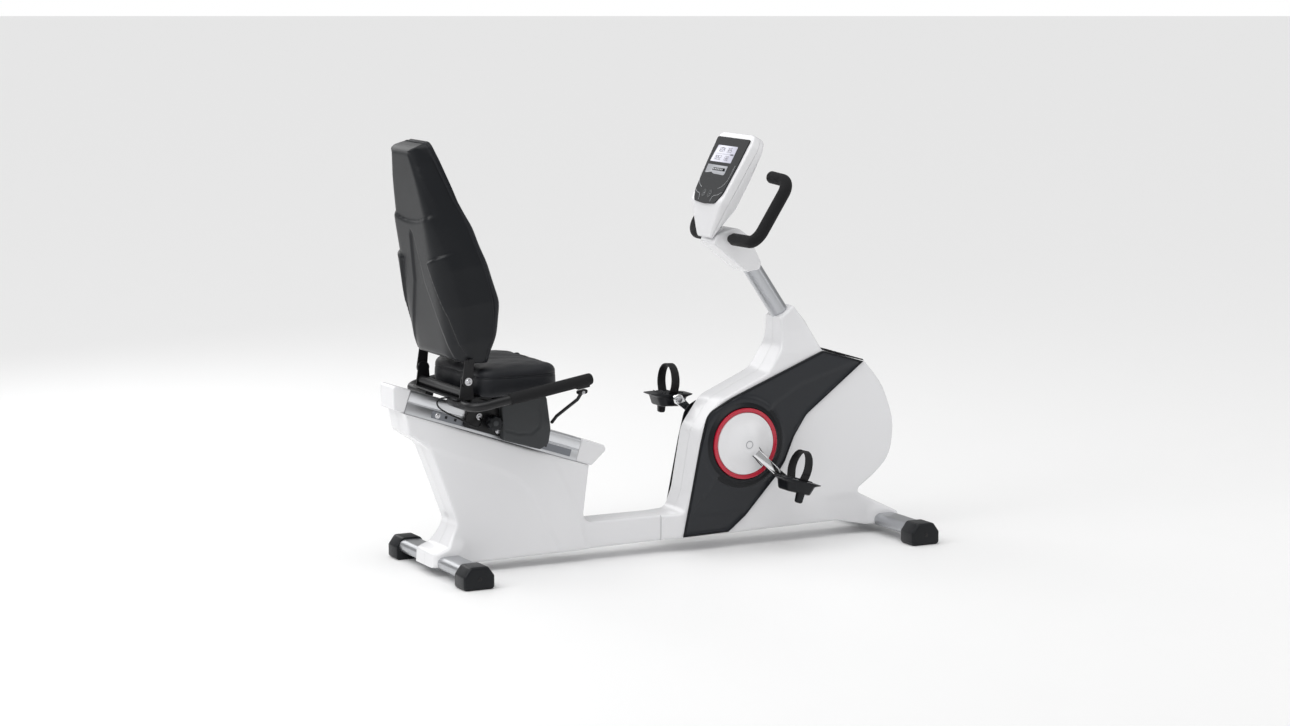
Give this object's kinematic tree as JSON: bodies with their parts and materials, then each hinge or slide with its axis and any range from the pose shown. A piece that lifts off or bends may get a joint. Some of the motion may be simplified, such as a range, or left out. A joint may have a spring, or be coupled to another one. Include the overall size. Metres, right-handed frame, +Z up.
{
  "type": "recumbent exercise bike",
  "caption": "Recumbent exercise bike: inclined sliding seat with backrest and side grips, strapped pedals on an enclosed flywheel drive, console and looped handlebar on a raked neck.",
  "frame": {"origin": "on the floor, under the middle of the bike's length and width", "axes": "+X is forward, the way the rider faces; +Z is up; -Y is the rider's right-hand side"},
  "size_m": [1.7171, 0.638, 1.2872],
  "materials": {
    "white_shell": "gloss white injection-moulded plastic",
    "anthracite_insert": "gloss anthracite plastic",
    "black_plastic": "satin black plastic",
    "red_plastic": "gloss deep red plastic",
    "chrome_arm": "bright chrome plate",
    "rail_aluminium": "satin anodised aluminium",
    "silver_tube": "silver powder coat",
    "black_steel": "black powder coat",
    "flywheel_iron": "machined cast iron",
    "grey_plastic": "fine-textured dark grey plastic",
    "foam_grip": "matt black closed-cell foam",
    "leatherette": "soft black leatherette",
    "strap_rubber": "matt black rubber",
    "display_glass": "clear window over a pale lilac liquid-crystal display",
    "board_green": "green circuit board"
  },
  "bodies": {
    "base": {"main_frame": "black_steel", "bottom_bracket": "black_steel", "column_tube": "silver_tube", "front_stabiliser": "silver_tube", "rear_stabiliser": "silver_tube", "foot_cap_rear_right": "black_plastic", "foot_cap_rear_left": "black_plastic", "foot_cap_front_right": "black_plastic", "foot_cap_front_left": "black_plastic", "rear_cover_right": "white_shell", "rear_cover_left": "white_shell", "housing_right": "white_shell", "housing_left": "white_shell", "accent_panel_right": "anthracite_insert", "accent_panel_left": "anthracite_insert", "top_vent": "black_plastic", "brake_magnet": "black_steel", "drive_belt": "strap_rubber", "seat_rail": "rail_aluminium", "rail_cap_front": "white_shell", "rail_cap_rear": "white_shell", "index_strip": "rail_aluminium", "neck_cover": "white_shell", "console_pivot": "black_steel"},
    "flywheel": {"flywheel": "flywheel_iron"},
    "crank": {"crank_axle": "black_steel", "drive_pulley": "black_plastic", "crank_arm_right": "chrome_arm", "crank_arm_left": "chrome_arm", "crank_disc_right": "white_shell", "crank_disc_left": "white_shell", "crank_ring_right": "red_plastic", "crank_ring_left": "red_plastic"},
    "pedal_right": {"pedal_right": "black_plastic", "pedal_strap_right": "strap_rubber"},
    "pedal_left": {"pedal_left": "black_plastic", "pedal_strap_left": "strap_rubber"},
    "seat": {"seat_carriage": "black_steel", "carriage_cover_right": "grey_plastic", "carriage_cover_left": "grey_plastic", "seat_frame": "black_steel", "side_grip_right": "foam_grip", "side_grip_left": "foam_grip", "seat_cushion": "leatherette", "lock_cable": "strap_rubber"},
    "clamp_knob": {"clamp_knob": "black_plastic"},
    "seat_lever": {"seat_lever": "black_steel"},
    "backrest": {"backrest_bracket": "black_steel", "backrest_shell": "black_plastic", "backrest_pad": "leatherette"},
    "handlebar": {"handlebar_tube": "black_steel", "handlebar_grip_right": "foam_grip", "handlebar_grip_left": "foam_grip"},
    "console": {"console_front": "white_shell", "console_rear": "white_shell", "console_panel": "black_plastic", "display_window": "display_glass", "circuit_board": "board_green"},
    "button_minus": {"button_minus": "grey_plastic"},
    "button_plus": {"button_plus": "grey_plastic"}
  },
  "joints": [
    {"name": "flywheel_spin", "type": "hinge", "parent": "base", "child": "flywheel", "pos_m": [0.66, 0, 0.335], "axis": [0, 1, 0], "continuous": true},
    {"name": "crank_spin", "type": "hinge", "parent": "base", "child": "crank", "pos_m": [0.294, 0, 0.325], "axis": [0, 1, 0], "continuous": true},
    {"name": "pedal_right_spin", "type": "hinge", "parent": "crank", "child": "pedal_right", "pos_m": [0.4167, 0, 0.20734], "axis": [0, 1, 0], "continuous": true},
    {"name": "pedal_left_spin", "type": "hinge", "parent": "crank", "child": "pedal_left", "pos_m": [0.1713, 0, 0.44266], "axis": [0, 1, 0], "continuous": true},
    {"name": "seat_slide", "type": "slide", "parent": "base", "child": "seat", "axis": [0.9483, 0, -0.3173], "range_m": [-0.165, 0.11]},
    {"name": "clamp_knob_turn", "type": "hinge", "parent": "seat", "child": "clamp_knob", "pos_m": [-0.552, 0, 0.452], "axis": [0, 1, 0], "range_deg": [0, 270]},
    {"name": "seat_lever_swing", "type": "hinge", "parent": "seat", "child": "seat_lever", "pos_m": [-0.342, -0.25, 0.55], "axis": [0, 1, 0], "range_deg": [-12, 0], "stiffness_Nm_per_rad": 6, "springref_deg": 1.72},
    {"name": "backrest_tilt", "type": "hinge", "parent": "seat", "child": "backrest", "pos_m": [-0.672, 0, 0.594], "axis": [0, 1, 0], "range_deg": [-12, 5]},
    {"name": "handlebar_tilt", "type": "hinge", "parent": "base", "child": "handlebar", "pos_m": [0.264, 0, 0.955], "axis": [0, 1, 0], "range_deg": [-5, 20]},
    {"name": "console_tilt", "type": "hinge", "parent": "base", "child": "console", "pos_m": [0.238, 0, 0.993], "axis": [0, 1, 0], "range_deg": [-3, 8]},
    {"name": "button_minus_press", "type": "slide", "parent": "console", "child": "button_minus", "axis": [0.8763, 0, -0.4818], "range_m": [0, 0.0012], "stiffness_N_per_m": 1500},
    {"name": "button_plus_press", "type": "slide", "parent": "console", "child": "button_plus", "axis": [0.8763, 0, -0.4818], "range_m": [0, 0.0012], "stiffness_N_per_m": 1500}
  ],
  "couplings": [
    {"joint": "crank_spin", "follows": "flywheel_spin", "ratio": 0.16}
  ]
}
